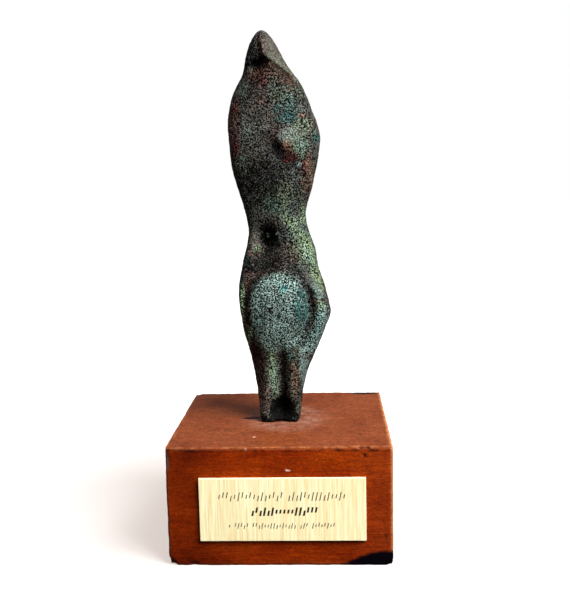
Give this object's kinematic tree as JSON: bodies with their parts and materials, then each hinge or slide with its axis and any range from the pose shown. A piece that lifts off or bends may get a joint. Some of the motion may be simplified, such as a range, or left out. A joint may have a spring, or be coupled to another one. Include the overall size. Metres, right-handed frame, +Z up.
{
  "type": "nuragic bronze figure",
  "caption": "Small cast bronze figure with a pointed hood, a rounded belly and joined legs, standing on a square wooden plinth with a plain brass plaque.",
  "frame": {"origin": "middle of the plinth's underside, on the surface that the object stands on", "axes": "+Z up along the figure; -Y is the front, with the belly and the plaque; +X is to the right as the front is seen"},
  "size_m": [0.07, 0.0711, 0.1663],
  "materials": {
    "bronze": "matte",
    "wood": "satin",
    "plaque": "satin"
  },
  "bodies": {
    "root": {"figure": "bronze", "plinth": "wood", "plaque": "plaque"}
  },
  "joints": []
}
